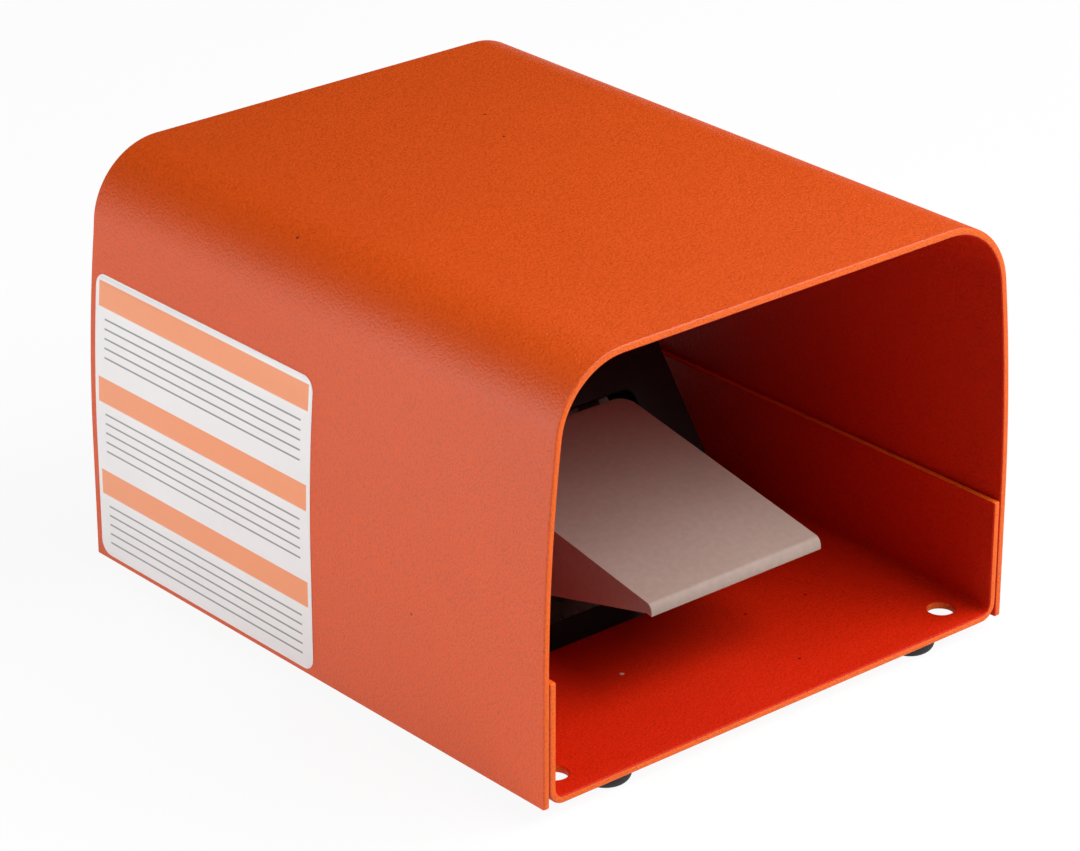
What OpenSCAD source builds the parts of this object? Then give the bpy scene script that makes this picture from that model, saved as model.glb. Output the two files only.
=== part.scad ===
// Guarded foot switch: an arched sheet steel guard welded over a shallow tray,
// and inside it a black moulded housing with a grey treadle that works a snap switch.
// Millimetres. X is across, Y runs front to rear, Z is up from the floor.

/* [Guard] */
// Outside width of the guard at its foot
guard_w = 150; // [140:1:180]
// Length of the guard and tray, front to rear
guard_l = 175; // [170:1:220]
// Height of the guard above the underside of the tray
guard_h = 109.2; // [95:0.1:140]
// Thickness of the guard's sheet
guard_t = 2; // [1.5:0.1:3]
// Outside radius of the two bends beside the crown
crown_r = 20; // [14:1:28]
// Angle that each side wall has leaned in by where it meets those bends
wall_lean = 7; // [4:0.5:9]

/* [Tray] */
// Thickness of the tray's sheet
tray_t = 2; // [1.5:0.1:3]
// Height of the tray's side flanges above its underside
flange_h = 32; // [20:1:40]
// Outside radius of the tray's two bends
tray_bend_r = 4.5; // [3.5:0.5:7]
// Diameter of the four mounting holes
mount_d = 6.75; // [5:0.25:8]
// Spacing of the mounting holes across the tray
mount_dx = 127; // [110:1:128]
// Distance of each mounting hole from the tray's front or rear edge
mount_edge = 9.5; // [8:0.5:14]

/* [Feet] */
// Diameter of a rubber foot
foot_d = 12.7; // [10:0.1:14]
// Height of a rubber foot
foot_h = 3.5; // [3:0.1:6]
// Radius of the rounded edge round the foot's sole
foot_edge_r = 2.5; // [1:0.1:2.9]
// Spacing of the feet across the tray
foot_dx = 100; // [80:1:104]
// Distance of each foot's centre from the tray's front or rear edge
foot_edge = 7; // [7:0.5:12]

/* [Housing] */
// Width of the housing
house_w = 87; // [85:0.5:95]
// Height of the housing above the tray's floor
house_h = 64; // [56:1:75]
// Slope of the housing's front face, from level
face_a = 53.2; // [50:0.2:56]
// Wall thickness of the housing
house_wall = 3; // [2:0.1:3.4]
// Outside radius of the long edges beside the housing's top
house_edge_r = 6; // [4:0.5:9]
// Outside radius where the front face turns into the top
brow_r = 9; // [5:0.5:14]
// Outside radius where the top turns into the rear wall
rear_r = 10; // [6:0.5:14]
// Distance from the pivot's axis to the housing's rear wall
house_rear = 48; // [44:1:52]
// Corner radius of the treadle's opening
open_r = 3; // [2:0.5:9]
// Gap round the treadle in its opening
open_gap = 2.3; // [1.5:0.1:3.5]
// Height of the sill under the treadle's opening
sill_h = 5; // [3:0.5:6]
// Bore of the conduit hub
hub_bore = 18.3; // [16:0.1:20]
// Outside diameter of the conduit hub
hub_d = 28; // [25:0.5:32]
// Length of the hub behind the rear wall
hub_l = 8; // [5:0.5:9]
// Height of the hub's axis above the tray's floor
hub_z = 30; // [24:1:34]

/* [Treadle] */
// Width of the treadle
treadle_w = 55.1; // [50:0.1:60]
// Reach of the treadle's tip in front of the pivot's axis
tip_reach = 101.8; // [98:0.2:104]
// Slope of the tread
tread_a = 10.8; // [10:0.1:12]
// Height of the tread's plane above the tray's floor, over the pivot
tread_z = 47.7; // [47:0.1:48.4]
// Thickness of the tread
tread_t = 2.8; // [2:0.1:3.2]
// Thickness of the treadle's side flanks
flank_t = 2.5; // [2:0.1:2.8]
// Slope of the flanks' lower edge
flank_a = 13.9; // [12:0.1:15]
// Height of the flanks' lowest edge above the tray's floor
flank_z = 7.5; // [7.2:0.1:9]
// Plan radius of the tread's rear corners
tread_corner_r = 4; // [2:0.5:7]
// Radius of the curved heel that follows the treadle's rear edge inside the opening
heel_r = 38.4; // [36:0.1:38.6]

/* [Pivot] */
// Distance from the guard's rear edge to the pivot's axis
pivot_back = 57.5; // [57:0.5:60]
// Height of the pivot's axis above the tray's floor
pivot_z = 12; // [11.8:0.1:12.5]
// Diameter of the pivot pin
pin_d = 6; // [5:0.1:6.4]
// Outside diameter of the flanged bushes
bush_d = 8.6; // [7.6:0.1:9.4]
// Thickness of the pivot bracket's steel
ear_t = 2; // [1.5:0.1:2.5]

/* [Snap switch] */
// Length of the snap switch's case
case_l = 27.8; // [26:0.1:28]
// Width of the case
case_w = 10.3; // [9:0.1:10.6]
// Height of the case
case_h = 15.9; // [15:0.1:17]
// Height of the case's top above the tray's floor
case_top = 27; // [26.5:0.1:27.2]
// Diameter of the two screws through the case
case_screw_d = 3; // [2.5:0.1:3.2]

/* [Springs and stops] */
// Outside diameter of a return spring
spring_d = 10; // [8:0.1:10.4]
// Wire diameter of a return spring
spring_wire = 1.2; // [0.8:0.1:1.5]
// Number of coils of a return spring
spring_turns = 7; // [5:1:9]
// Diameter of a rubber down stop
stop_d = 8; // [6:0.5:8]
// Thickness of the base plate
plate_t = 2; // [1.5:0.1:2]

/* [Hidden] */
$fn = 64;

eps = 0.01;
plate_gap = 0.5;        // between the base plate's edge and the housing's wall
rest_gap = 0.3;         // between parts that meet but move on different pieces
run_gap = 0.05;         // radial running clearance on the pivot pin

// Guard: the wall rises straight past the flange, sweeps inward, then turns the corner.
guard_hw = guard_w / 2;
straight_h = flange_h + 1;
sweep_r = (guard_h - straight_h - crown_r) / sin(wall_lean) + crown_r;
crown_x = guard_hw - (sweep_r - crown_r) * (1 - cos(wall_lean)) - crown_r;
tray_hw = guard_hw - guard_t;
floor_z = foot_h + tray_t;
pivot_y = guard_l / 2 - pivot_back;

// Housing, in the pivot's frame: Y from the pivot's axis, Z from the tray's floor.
face_foot = -62.4;      // where the sloped face meets the tray's floor
house_hw = house_w / 2;
plate_hw = house_hw - house_wall - plate_gap;
plate_rear = house_rear - house_wall - plate_gap;
plate_front = face_foot + house_wall / sin(face_a) + plate_t / tan(face_a) + 1;
boss_r = 4.5;
boss_x = house_hw - house_wall - boss_r + 0.7;
boss_front = -43;
boss_rear = house_rear - house_wall - boss_r + 0.7;
screw_d = 4;
screw_grip = 8;         // length of a housing screw inside its boss
rivet_d = 3;
rivet_inset = 6;

// Treadle, in the same frame.
treadle_hw = treadle_w / 2;
tread_rear = -30;       // rear edge of the tread, just inside the opening
cheek_out = treadle_hw - flank_t + 0.4;
cheek_in = cheek_out - 3;
heel_t = 2.2;
heel_a0 = 110;          // the heel's two ends, as angles about the pivot
heel_a1 = 127;
lip_y = -98.8;          // where the flanks' lower edge runs into the lip
lip_z = tread_top(lip_y) - 3.2;
flank_end = lip_y + (lip_z - flank_z) / tan(flank_a);
face_cross = (tread_z + face_foot * tan(face_a)) / (tan(face_a) - tan(tread_a));
open_top = tread_top(face_cross) / sin(face_a) + open_gap;
open_hw = treadle_hw + open_gap;
barrel_r = 6.3;
bush_flange_t = 1;
barrel_end = cheek_out + 1;
ear_in = barrel_end + bush_flange_t + 0.5;
ear_out = ear_in + ear_t;
ear_r = 10;
clip_t = 0.8;
bridge_y = -14;         // the bar that carries the adjusting screw
bridge_z = 33.5;
bridge_h = 5;
adjust_d = 5;
adjust_dog = 1.5;       // length of the dog point below the thread
nut_h = 3.2;
spring_x = cheek_in - spring_d / 2 - 1;
spring_y = -29.6;
spring_pad_z = 34;
spring_pad_h = 4;
spring_pad_r = spring_d / 2 + 1;
seat_t = 1;
tail_y = 11.5;
tail_z = flank_z - 1.2;
tail_l = 7;
tail_h = 4;
rib_h = 6;
stop_stem_d = 4;
stop_x = treadle_hw - flank_t / 2;
stop_y = -45;
travel_a = 8;           // from the rest pad to the down stops
stop_drop = pivot_z - sin(travel_a) * -stop_y + cos(travel_a) * (flank_bottom(stop_y) - pivot_z);

// Snap switch.
case_rear = -8.2;
case_front = case_rear - case_l;
case_bottom = case_top - case_h;
lever_y = case_front + 1.6;
lever_z = case_top + 0.9;
lever_t = 0.4;
lever_a = 6.4;
lever_tip = -11.5;
plunger_dy = 7;
plunger_y = lever_y + plunger_dy;
plunger_top = lever_z + plunger_dy * tan(lever_a) - lever_t / 2 - rest_gap / 2;
dog_r = 1.5;
contact_z = lever_z + (bridge_y + dog_r - lever_y) * tan(lever_a) + lever_t / 2 + rest_gap;
leaf_t = 2;
case_hole_dy = 22.2;
case_hole_dz = 10.3;
terminal_inset = 7;
plunger_r = 1.5;
ground_d = 4;

orange = [0.87, 0.27, 0.08];
black = [0.08, 0.08, 0.09];
grey = [0.68, 0.65, 0.62];
zinc = [0.72, 0.72, 0.7];
brass = [0.75, 0.6, 0.3];

// Height of the tread's top, and of the flanks' lower edge, at a distance from the pivot.
function tread_top(y) = tread_z + y * tan(tread_a);
function flank_bottom(y) = max(flank_z, lip_z - (y - lip_y) * tan(flank_a));
function sides(v) = [-v, v];

// A profile drawn in (y, z), extruded across the part.
module across(w) {
    rotate([90, 0, 90]) linear_extrude(w, center = true) children();
}

// A profile drawn in (x, z), extruded from front to rear.
module lengthwise(l) {
    rotate([90, 0, 0]) linear_extrude(l, center = true) children();
}

// A cylinder along X, centred at a place in (y, z).
module cross_pin(r, x0, x1, y, z) {
    translate([x0, y, z]) rotate([0, 90, 0]) cylinder(r = r, h = x1 - x0);
}

// A strip of sheet bent through an angle, drawn about its bend's centre.
module bend(r, t, a0, a1) {
    far = 2 * r;
    intersection() {
        difference() {
            circle(r);
            circle(r - t);
        }
        polygon([[0, 0], [far * cos(a0), far * sin(a0)], [far * cos(a1), far * sin(a1)]]);
    }
}

module at_pivot() {
    translate([0, pivot_y, floor_z]) children();
}

// Half of the guard's section: wall, long sweep, corner and half of the crown.
module guard_half() {
    translate([guard_hw - guard_t, 0]) square([guard_t, straight_h]);
    translate([guard_hw - sweep_r, straight_h]) bend(sweep_r, guard_t, 0, wall_lean, $fn = 1440);
    translate([crown_x, guard_h - crown_r]) bend(crown_r, guard_t, wall_lean, 90, $fn = 144);
    translate([-eps, guard_h - guard_t]) square([crown_x + eps, guard_t]);
}

module hood() {
    color(orange) translate([0, 0, foot_h]) lengthwise(guard_l) {
        guard_half();
        mirror([1, 0]) guard_half();
    }
}

// Half of the tray's section: half floor, bend and flange.
module tray_half() {
    translate([-eps, 0]) square([tray_hw - tray_bend_r + eps, tray_t]);
    translate([tray_hw - tray_bend_r, tray_bend_r]) bend(tray_bend_r, tray_t, 270, 360);
    translate([tray_hw - tray_t, tray_bend_r]) square([tray_t, flange_h - tray_bend_r]);
}

module base_tray() {
    color(orange) difference() {
        translate([0, 0, foot_h]) lengthwise(guard_l) {
            tray_half();
            mirror([1, 0]) tray_half();
        }
        for (x = sides(mount_dx / 2), y = sides(guard_l / 2 - mount_edge))
            translate([x, y, foot_h - 1]) cylinder(d = mount_d, h = tray_t + 2);
        at_pivot() housing_screw_places() translate([0, 0, -tray_t - 1])
            cylinder(d = screw_d + 0.5, h = tray_t + 2);
    }
}

// One foot: a cylinder with a quarter-round edge about its flat sole.
module foot() {
    sole_r = foot_d / 2 - foot_edge_r;
    rotate_extrude() {
        square([sole_r, foot_h]);
        translate([0, foot_edge_r]) square([foot_d / 2, foot_h - foot_edge_r]);
        intersection() {
            translate([sole_r, foot_edge_r]) circle(foot_edge_r);
            square([foot_d / 2, foot_edge_r + eps]);
        }
    }
}

module rubber_feet() {
    color(black) for (x = sides(foot_dx / 2), y = sides(guard_l / 2 - foot_edge))
        translate([x, y, 0]) foot();
}

// The housing's side view, drawn in (y, z), moved inward by a wall.
module house_side(inset) {
    top = house_h - inset;
    foot = face_foot + inset / sin(face_a);
    rear = house_rear - inset;
    br = brow_r - inset;
    rr = rear_r - inset;
    reach = br * tan(face_a / 2);
    brow = foot + top / tan(face_a);
    low = inset > 0 ? 1 : 0;
    polygon([[foot - low / tan(face_a), -low],
        [brow - reach * cos(face_a), top - reach * sin(face_a)],
        [brow + reach, top], [rear - rr, top], [rear, top - rr], [rear, -low]]);
    translate([brow + reach, top - br]) circle(br);
    translate([rear - rr, top - rr]) circle(rr);
}

// The housing's end view, drawn in (x, z).
module house_end(inset) {
    w = house_hw - inset;
    top = house_h - inset;
    r = house_edge_r - inset;
    translate([-w, -2]) square([2 * w, top + 2 - r]);
    translate([r - w, -2]) square([2 * (w - r), top + 2]);
    for (x = sides(w - r)) translate([x, top - r]) circle(r);
}

module house_block(inset) {
    intersection() {
        across(2 * house_hw) house_side(inset);
        translate([0, (house_rear + face_foot) / 2, 0])
            lengthwise(house_rear - face_foot + 10) house_end(inset);
    }
}

// The arched opening, drawn in the plane of the sloped face and cut square to it.
module treadle_opening() {
    sill = sill_h / sin(face_a);
    translate([0, face_foot, 0]) rotate([face_a, 0, 0])
        translate([0, 0, -house_wall - 3]) linear_extrude(house_wall + 6) {
            translate([-open_hw, sill]) square([2 * open_hw, open_top - open_r - sill]);
            translate([open_r - open_hw, sill]) square([2 * (open_hw - open_r), open_top - sill]);
            for (x = sides(open_hw - open_r)) translate([x, open_top - open_r]) circle(open_r);
        }
}

module housing_screw_places() {
    for (x = sides(boss_x), y = [boss_front, boss_rear]) translate([x, y, 0]) children();
}

// Moulded housing: a hollow shell, open below, with screw bosses and a conduit hub.
module switch_housing() {
    boss_h = 13;
    color(black) at_pivot() difference() {
        union() {
            difference() {
                house_block(0);
                house_block(house_wall);
                treadle_opening();
            }
            housing_screw_places() translate([0, 0, plate_t]) cylinder(r = boss_r, h = boss_h);
            translate([0, house_rear - house_wall, hub_z]) rotate([-90, 0, 0])
                cylinder(d = hub_d, h = house_wall + hub_l);
        }
        housing_screw_places() translate([0, 0, plate_t - 1]) cylinder(d = screw_d, h = boss_h - 1);
        translate([0, house_rear - house_wall - 1, hub_z]) rotate([-90, 0, 0])
            cylinder(d = hub_bore, h = house_wall + hub_l + 2);
    }
}

module plate_hole(d) {
    translate([0, 0, -1]) cylinder(d = d, h = plate_t + 2);
}

// Steel plate that carries the works, clamped between the tray and the housing's bosses.
module base_plate() {
    color(zinc) at_pivot() difference() {
        translate([-plate_hw, plate_front, 0])
            cube([2 * plate_hw, plate_rear - plate_front, plate_t]);
        housing_screw_places() plate_hole(screw_d + 0.5);
        rivet_places() plate_hole(rivet_d);
        bracket_screw_places() plate_hole(case_screw_d);
        stop_places() plate_hole(stop_stem_d);
        ground_place() plate_hole(ground_d);
    }
}

// Pan head screws from below the tray: their heads stay clear of the floor.
module housing_screws() {
    head_h = 2.2;
    color(zinc) at_pivot() housing_screw_places() translate([0, 0, -tray_t]) {
        cylinder(d = screw_d, h = tray_t + plate_t + screw_grip);
        translate([0, 0, -head_h]) cylinder(d = 2 * screw_d, h = head_h);
    }
}

module rivet_places() {
    for (x = sides(ear_in - rivet_inset), y = sides(rivet_inset)) translate([x, y, 0]) children();
}

// Folded U bracket: a web on the plate and an ear at each side for the pin.
module pivot_bracket() {
    color(zinc) at_pivot() difference() {
        union() {
            translate([-ear_out, -ear_r, plate_t]) cube([2 * ear_out, 2 * ear_r, ear_t]);
            for (s = [0, 1]) mirror([s, 0, 0]) {
                translate([ear_in, -ear_r, plate_t]) cube([ear_t, 2 * ear_r, pivot_z - plate_t]);
                cross_pin(ear_r, ear_in, ear_out, 0, pivot_z);
            }
        }
        cross_pin(pin_d / 2, -ear_out - 1, ear_out + 1, 0, pivot_z);
        rivet_places() translate([0, 0, plate_t - 1]) cylinder(d = rivet_d, h = ear_t + 2);
    }
}

module bracket_rivets() {
    color(zinc) at_pivot() rivet_places() {
        cylinder(d = rivet_d, h = plate_t + ear_t + eps);
        translate([0, 0, plate_t + ear_t]) cylinder(d = 1.8 * rivet_d, h = rivet_d / 3);
    }
}

// Pivot pin, grooved at both ends for its clips.
module pivot_pin() {
    end = ear_out + 3 * clip_t;
    color(zinc) at_pivot() difference() {
        cross_pin(pin_d / 2, -end, end, 0, pivot_z);
        for (s = [0, 1]) mirror([s, 0, 0]) difference() {
            cross_pin(pin_d, ear_out, ear_out + clip_t, 0, pivot_z);
            cross_pin(0.4 * pin_d, ear_out - 1, ear_out + clip_t + 1, 0, pivot_z);
        }
    }
}

// Snap-on clips: rings with an open side.
module pin_clips() {
    color(zinc) at_pivot() for (s = [0, 1]) mirror([s, 0, 0]) difference() {
        cross_pin(0.85 * pin_d, ear_out, ear_out + clip_t, 0, pivot_z);
        cross_pin(0.4 * pin_d, ear_out - 1, ear_out + clip_t + 1, 0, pivot_z);
        translate([ear_out - 1, -0.35 * pin_d, pivot_z - pin_d])
            cube([clip_t + 2, 0.7 * pin_d, pin_d]);
    }
}

// Side view of the tread: a sloped plate with a round nose.
module tread_side() {
    l = (tip_reach + tread_rear) / cos(tread_a);
    translate([-tip_reach, tread_top(-tip_reach)]) rotate(tread_a) {
        translate([tread_t / 2, -tread_t]) square([l - tread_t / 2, tread_t]);
        translate([tread_t / 2, -tread_t / 2]) circle(tread_t / 2);
    }
}

// Side view of a flank in front of the housing.
module flank_side() {
    polygon([[lip_y, lip_z], [flank_end, flank_z], [0, flank_z], [0, pivot_z + 5],
        [tread_rear, tread_top(tread_rear) - 1], [lip_y, tread_top(lip_y) - 1]]);
}

// Part of a ring about the pivot, between two angles.
module heel_side(r0, r1, a0, a1) {
    far = 2 * r1;
    translate([0, pivot_z]) intersection() {
        difference() {
            circle(r1, $fn = 180);
            circle(r0, $fn = 180);
        }
        polygon([[0, 0], [far * cos(a0), far * sin(a0)], [far * cos(a1), far * sin(a1)]]);
    }
}

// Side view of a cheek: the part of the flank that runs inside the housing.
module cheek_side() {
    difference() {
        translate([0, pivot_z]) circle(heel_r, $fn = 180);
        polygon([[-heel_r - 1, -heel_r], [-heel_r - 1, flank_z], [0, flank_z],
            [tail_y + tail_l + 1, tail_z], [tail_y + tail_l + 1, -heel_r]]);
        polygon([[2 * heel_r, -heel_r], [tail_y + tail_l + 1, -heel_r], [tail_y + tail_l + 1, pivot_z],
            [barrel_r, pivot_z + barrel_r], [heel_r * cos(heel_a0), pivot_z + heel_r * sin(heel_a0)],
            [-heel_r, 2 * heel_r], [2 * heel_r, 2 * heel_r]]);
        translate([-2 * heel_r - 36, -heel_r]) square([2 * heel_r, 3 * heel_r]);
    }
}

// Plan of the tread and flanks: a rectangle with rounded rear corners.
module tread_plan() {
    r = tread_corner_r;
    front = -tip_reach - 1;
    translate([-treadle_hw, front]) square([treadle_w, tread_rear - r - front]);
    translate([r - treadle_hw, front]) square([treadle_w - 2 * r, tread_rear - front]);
    for (x = sides(treadle_hw - r)) translate([x, tread_rear - r]) circle(r);
}

// Moulded treadle: tread, flanks, stiffening ribs, curved heel and pivot barrels.
module treadle() {
    rib_x = 9;
    rib_front = -92;
    rib_rear = -42;
    rib_run = 8;        // length over which a rib grows to its full height
    transom_t = 3;
    transom_z = 36.8;
    color(grey) at_pivot() difference() {
        union() {
            intersection() {
                linear_extrude(2 * house_h) tread_plan();
                union() {
                    across(treadle_w) tread_side();
                    for (s = [0, 1]) mirror([s, 0, 0])
                        translate([treadle_hw - flank_t / 2, 0, 0]) across(flank_t) flank_side();
                }
            }
            // longitudinal ribs under the tread, running out towards the lip
            for (x = sides(rib_x)) translate([x, 0, 0]) across(2) polygon([
                [rib_front, tread_top(rib_front) - 1], [rib_rear, tread_top(rib_rear) - 1],
                [rib_rear, tread_top(rib_rear) - rib_h],
                [rib_front + rib_run, tread_top(rib_front + rib_run) - rib_h + 2]]);
            // cross rib
            translate([0, rib_rear, 0]) across(treadle_w - 2 * eps) polygon([
                [-1, tread_top(rib_rear - 1) - 1], [1, tread_top(rib_rear + 1) - 1],
                [1, tread_top(rib_rear) - rib_h], [-1, tread_top(rib_rear) - rib_h]]);
            for (s = [0, 1]) mirror([s, 0, 0])
                translate([(cheek_in + cheek_out) / 2, 0, 0]) across(cheek_out - cheek_in) cheek_side();
            across(2 * cheek_in + 1) heel_side(heel_r - heel_t, heel_r, heel_a0, heel_a1);
            // transom under the tread's rear edge
            across(2 * cheek_in + 1) translate([tread_rear - transom_t, transom_z])
                square([transom_t, tread_top(tread_rear) - 1.2 - transom_z]);
            // pads that the springs push against, with locating spigots
            for (s = [0, 1]) mirror([s, 0, 0]) {
                translate([spring_x - spring_pad_r, spring_y - spring_pad_r, spring_pad_z])
                    cube([cheek_in - spring_x + spring_pad_r + 0.5, 2 * spring_pad_r, spring_pad_h]);
                translate([spring_x, spring_y, spring_pad_z - 3])
                    cylinder(d = spring_d - 2 * spring_wire - 1, h = 3 + eps);
            }
            // bridge for the adjusting screw
            translate([-cheek_in - 0.5, bridge_y - 4, bridge_z]) cube([2 * cheek_in + 1, 8, bridge_h]);
            // tail bar that comes down on the rest pad
            translate([-cheek_in - 0.5, tail_y, tail_z]) cube([2 * cheek_in + 1, tail_l, tail_h]);
            for (s = [0, 1]) mirror([s, 0, 0]) cross_pin(barrel_r, cheek_in - 3, barrel_end, 0, pivot_z);
        }
        cross_pin(bush_d / 2, -barrel_end - 1, barrel_end + 1, 0, pivot_z);
        translate([0, bridge_y, bridge_z - 1]) cylinder(d = adjust_d, h = bridge_h + 2);
    }
}

// Flanged plain bushes, one in each barrel.
module pivot_bushes() {
    color("ivory") at_pivot() for (s = [0, 1]) mirror([s, 0, 0]) difference() {
        union() {
            cross_pin(bush_d / 2, cheek_in - 3, barrel_end + bush_flange_t, 0, pivot_z);
            cross_pin(bush_d / 2 + 1.4, barrel_end, barrel_end + bush_flange_t, 0, pivot_z);
        }
        cross_pin(pin_d / 2 + run_gap, 0, barrel_end + 5, 0, pivot_z);
    }
}

// Dog point set screw that pushes on the switch's lever.
module adjusting_screw() {
    top = bridge_z + bridge_h + nut_h + 2.2;
    body = contact_z + adjust_dog;
    color(zinc) at_pivot() translate([0, bridge_y, 0]) difference() {
        union() {
            translate([0, 0, contact_z]) cylinder(r = dog_r, h = adjust_dog + 0.5);
            translate([0, 0, body]) cylinder(d = adjust_d, h = top - body);
        }
        translate([-adjust_d / 2 - 1, -0.4, top - 1.2]) cube([adjust_d + 2, 0.8, 2]);
    }
}

module adjusting_nut() {
    color(zinc) at_pivot() translate([0, bridge_y, bridge_z + bridge_h]) difference() {
        cylinder(d = 1.6 * adjust_d / cos(30), h = nut_h, $fn = 6);
        translate([0, 0, -1]) cylinder(d = adjust_d, h = nut_h + 2);
    }
}

// One point of the spring's wire, and the frame of its cross section.
function coil_angle(i) = i * 24;
function coil_point(i, k, h) = let (
    a = coil_angle(i),
    c = (spring_d - spring_wire) / 2,
    t = i / (spring_turns * 15),
    q = k * 60,
    r = c + spring_wire / 2 * cos(q))
    [r * cos(a), r * sin(a), spring_wire / 2 + t * (h - spring_wire) + spring_wire / 2 * sin(q)];

// Helical compression spring of a given free height.
module coil(h) {
    n = spring_turns * 15;
    polyhedron(
        points = [for (i = [0:n], k = [0:5]) coil_point(i, k, h)],
        faces = concat(
            [[for (k = [5:-1:0]) k]],
            [for (i = [0:n - 1], k = [0:5])
                [i * 6 + k, i * 6 + 6 + (k + 1) % 6, i * 6 + 6 + k]],
            [for (i = [0:n - 1], k = [0:5])
                [i * 6 + k, i * 6 + (k + 1) % 6, i * 6 + 6 + (k + 1) % 6]],
            [[for (k = [0:5]) n * 6 + k]]));
}

module return_springs() {
    base = plate_t + seat_t + 0.1;
    color(zinc) at_pivot() for (x = sides(spring_x)) translate([x, spring_y, base])
        coil(spring_pad_z - base - 0.1);
}

// Pressed cups that hold the springs' lower ends on the plate.
module spring_seats() {
    bore = spring_d - 2 * spring_wire - 0.6;
    color(zinc) at_pivot() for (x = sides(spring_x)) translate([x, spring_y, plate_t]) {
        cylinder(d = spring_d + 0.8, h = seat_t);
        cylinder(d = bore, h = seat_t + 2.5);
    }
}

module rest_pad() {
    pad_w = 30;
    color(black) at_pivot() translate([-pad_w / 2, tail_y, plate_t])
        cube([pad_w, tail_l, tail_z - rest_gap - plate_t]);
}

module stop_places() {
    for (x = sides(stop_x)) translate([x, stop_y, 0]) children();
}

// Rubber buttons under the flanks, with stems through the plate.
module down_stops() {
    color(black) at_pivot() stop_places() {
        cylinder(d = stop_stem_d, h = plate_t + eps);
        translate([0, 0, plate_t]) cylinder(d = stop_d, h = stop_drop - plate_t - 1);
    }
}

// Screw holes through the case, on its diagonal.
module case_hole_places() {
    mid = (case_front + case_rear) / 2;
    for (s = [-1, 1]) translate([0, mid + s * case_hole_dy / 2, case_bottom + 2.8 + case_hole_dz * (1 - s) / 2])
        rotate([0, 90, 0]) children();
}

// Moulded case with a raised collar round the plunger and a groove for the lever's curl.
module switch_case() {
    color([0.16, 0.13, 0.12]) at_pivot() difference() {
        translate([-case_w / 2, case_front, case_bottom]) cube([case_w, case_l, case_h]);
        translate([0, plunger_y, case_top - 6]) cylinder(r = plunger_r + 0.1, h = 8);
        case_hole_places() cylinder(d = case_screw_d, h = case_w + 2, center = true);
        translate([-case_w / 2 - 1, case_front + 9, case_bottom - 1])
            cube([1.5, case_l - 18, case_h - 3]);
        for (y = [case_front + terminal_inset, case_rear - terminal_inset])
            translate([-4, y - 0.45, case_bottom - 1])
                cube([8, 0.9, 4]);
    }
}

// Spring steel lever: a curl at its hinge and a flat leaf over the plunger.
module switch_lever() {
    color(zinc) at_pivot() {
        cross_pin(0.7, -2.1, 2.1, lever_y, lever_z);
        translate([-2.1, lever_y, lever_z]) rotate([lever_a, 0, 0])
            translate([0, 0, -lever_t / 2]) cube([4.2, (lever_tip - lever_y) / cos(lever_a), lever_t]);
    }
}

module switch_plunger() {
    color("firebrick") at_pivot() translate([0, plunger_y, case_top - 4.8])
        cylinder(r = plunger_r, h = plunger_top - case_top + 4.8);
}

// Blade terminals below the case.
module switch_terminals() {
    color(brass) at_pivot() for (y = [case_front + terminal_inset, case_rear - terminal_inset])
        translate([-3.2, y - 0.4, case_bottom - 6.3]) difference() {
            cube([6.4, 0.8, 9]);
            translate([3.2, 2, 2.6]) rotate([90, 0, 0]) cylinder(d = 1.6, h = 4);
        }
}

module bracket_screw_places() {
    for (y = [case_front - 7, case_rear - 8.3]) translate([case_w / 2 + 8, y, 0]) children();
}

// Bracket: an upright leaf beside the case and two feet on the plate.
module switch_bracket() {
    x0 = case_w / 2;
    foot_w = 13;
    foot_l = 9;
    front = case_front - foot_l - 2.5;
    color(zinc) at_pivot() difference() {
        union() {
            translate([x0, case_front, plate_t]) cube([leaf_t, case_l - 4, case_top - plate_t - 1]);
            translate([x0, front, plate_t]) cube([leaf_t, foot_l + 5, 7]);
            for (y = [front, case_rear - foot_w])
                translate([x0, y, plate_t]) cube([foot_w, foot_l, leaf_t]);
        }
        case_hole_places() cylinder(d = case_screw_d, h = 4 * case_w, center = true);
        bracket_screw_places() cylinder(d = case_screw_d, h = 10);
    }
}

module switch_screws() {
    color(zinc) at_pivot() case_hole_places() {
        translate([0, 0, -case_w / 2]) cylinder(d = case_screw_d, h = case_w + leaf_t + 3);
        translate([0, 0, -case_w / 2 - 2]) cylinder(d = 1.8 * case_screw_d, h = 2);
    }
}

module switch_nuts() {
    color(zinc) at_pivot() case_hole_places() translate([0, 0, case_w / 2 + leaf_t]) difference() {
        cylinder(d = 1.8 * case_screw_d / cos(30), h = 0.8 * case_screw_d, $fn = 6);
        translate([0, 0, -1]) cylinder(d = case_screw_d, h = 5);
    }
}

module bracket_screws() {
    color(zinc) at_pivot() bracket_screw_places() {
        cylinder(d = case_screw_d, h = plate_t + leaf_t + eps);
        translate([0, 0, plate_t + leaf_t]) cylinder(d = 1.9 * case_screw_d, h = 2);
    }
}

module ground_place() {
    translate([-25, 30, 0]) children();
}

// Green hexagon head screw for the earth wire.
module ground_screw() {
    color("seagreen") at_pivot() ground_place() {
        cylinder(d = ground_d, h = plate_t + eps);
        translate([0, 0, plate_t]) cylinder(d = 2.25 * ground_d, h = 1);
        translate([0, 0, plate_t + 1 - eps])
            cylinder(d = 1.75 * ground_d / cos(30), h = 0.7 * ground_d, $fn = 6);
    }
}

hood();
base_tray();
rubber_feet();
switch_housing();
base_plate();
housing_screws();
pivot_bracket();
bracket_rivets();
pivot_pin();
pin_clips();
treadle();
pivot_bushes();
adjusting_screw();
adjusting_nut();
return_springs();
spring_seats();
rest_pad();
down_stops();
switch_case();
switch_lever();
switch_plunger();
switch_terminals();
switch_bracket();
switch_screws();
switch_nuts();
bracket_screws();
ground_screw();
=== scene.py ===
import math

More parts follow.
